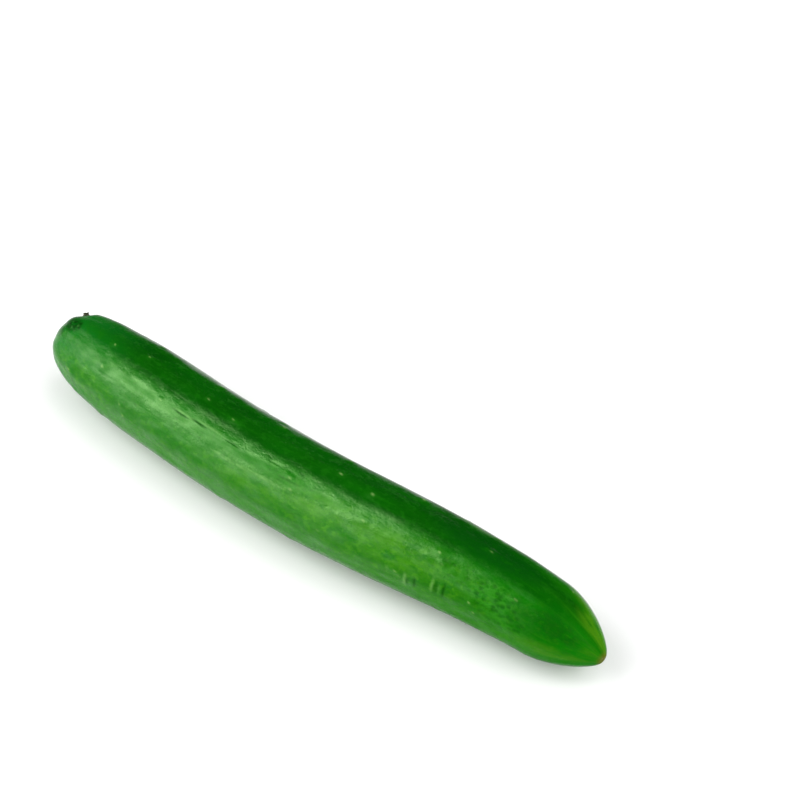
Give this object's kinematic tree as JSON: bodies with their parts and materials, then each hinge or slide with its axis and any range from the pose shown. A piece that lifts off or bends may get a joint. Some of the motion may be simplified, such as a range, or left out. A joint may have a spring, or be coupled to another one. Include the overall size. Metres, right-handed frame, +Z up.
{
  "type": "japanese cucumber",
  "caption": "A slim Japanese cucumber, slightly bent, with a blunt stem end, a tapered blossom end, shallow ribs and low warts, lying on a flat resting spot",
  "frame": {"origin": "on the table, in the flat resting spot under the middle of the fruit's length", "axes": "+X runs along the fruit from the stem end to the blossom end, +Y is the side that both ends bend towards, +Z is up from the table"},
  "size_m": [0.2226, 0.0354, 0.0313],
  "materials": {
    "skin": "satin",
    "dry_stem": "matte"
  },
  "bodies": {
    "root": {"fruit": "skin", "stem_stub": "dry_stem"}
  },
  "joints": []
}
